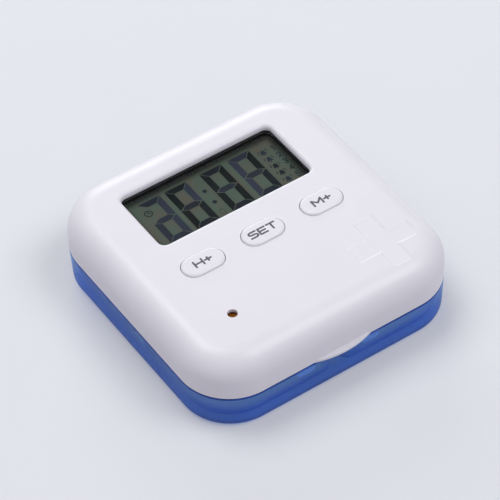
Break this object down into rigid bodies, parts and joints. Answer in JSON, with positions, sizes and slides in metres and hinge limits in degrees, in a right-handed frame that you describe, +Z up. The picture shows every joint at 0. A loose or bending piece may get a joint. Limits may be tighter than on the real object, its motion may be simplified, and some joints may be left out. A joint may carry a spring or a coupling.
{
  "type": "pill box with alarm",
  "caption": "Square round-cornered pill box: translucent tray with compartments under a hinged white timer lid with display, buttons and sounder.",
  "frame": {"origin": "middle of the tray's flat base, on the surface it stands on", "axes": "+X along the row of buttons from hour to minute, -Y towards the opening lip at the front, +Z up"},
  "size_m": [0.08, 0.0834, 0.0242],
  "materials": {
    "tray_blue": "translucent moulded, glossy",
    "shell_white": "moulded, satin",
    "cover_white": "moulded, satin",
    "button_white": "moulded, satin",
    "lens_clear": "clear, polished",
    "frame_black": "moulded, matt",
    "display_grey": "liquid crystal cell, grey-green",
    "reflector_foil": "foil",
    "strip_rubber": "conductive rubber",
    "board_green": "glass-epoxy laminate",
    "resin_black": "glossy resin",
    "part_brown": "small components",
    "switch_black": "moulded",
    "steel": "plain steel",
    "nickel": "nickel plate",
    "sounder_brass": "brass sheet",
    "sounder_ceramic": "silvered ceramic",
    "lead_red": "insulated wire"
  },
  "bodies": {
    "tray": {"tray": "tray_blue", "hinge_pin": "steel"},
    "lid": {"top_housing": "shell_white", "display_lens": "lens_clear", "display_frame": "frame_black", "display_glass": "display_grey", "display_reflector": "reflector_foil", "zebra_strips": "strip_rubber", "circuit_board": "board_green", "chip_blob": "resin_black", "quartz_crystal": "nickel", "board_components": "part_brown", "piezo_disc": "sounder_brass", "piezo_ceramic": "sounder_ceramic", "piezo_leads": "lead_red", "inner_cover": "cover_white", "coin_cell": "nickel", "negative_contact": "nickel", "positive_contact": "nickel", "cover_screws": "steel", "board_screws": "steel", "hour_switch": "switch_black", "mode_switch": "switch_black", "minute_switch": "switch_black"},
    "hour_key": {"hour_button": "button_white", "hour_plunger": "switch_black"},
    "mode_key": {"mode_button": "button_white", "mode_plunger": "switch_black"},
    "minute_key": {"minute_button": "button_white", "minute_plunger": "switch_black"},
    "battery_cap": {"battery_cap": "cover_white"}
  },
  "joints": [
    {"name": "lid_hinge", "type": "hinge", "parent": "tray", "child": "lid", "pos_m": [0, 0.04, 0.0109], "axis": [-1, 0, 0], "range_deg": [0, 125]},
    {"name": "hour_press", "type": "slide", "parent": "lid", "child": "hour_key", "axis": [0, 0, -1], "range_m": [0, 0.0004], "stiffness_N_per_m": 400, "springref_m": -0.001},
    {"name": "mode_press", "type": "slide", "parent": "lid", "child": "mode_key", "axis": [0, 0, -1], "range_m": [0, 0.0004], "stiffness_N_per_m": 400, "springref_m": -0.001},
    {"name": "minute_press", "type": "slide", "parent": "lid", "child": "minute_key", "axis": [0, 0, -1], "range_m": [0, 0.0004], "stiffness_N_per_m": 400, "springref_m": -0.001},
    {"name": "battery_cap_turn", "type": "hinge", "parent": "lid", "child": "battery_cap", "pos_m": [0.012, -0.0238, 0.0113], "axis": [0, 0, 1], "range_deg": [0, 40]}
  ]
}
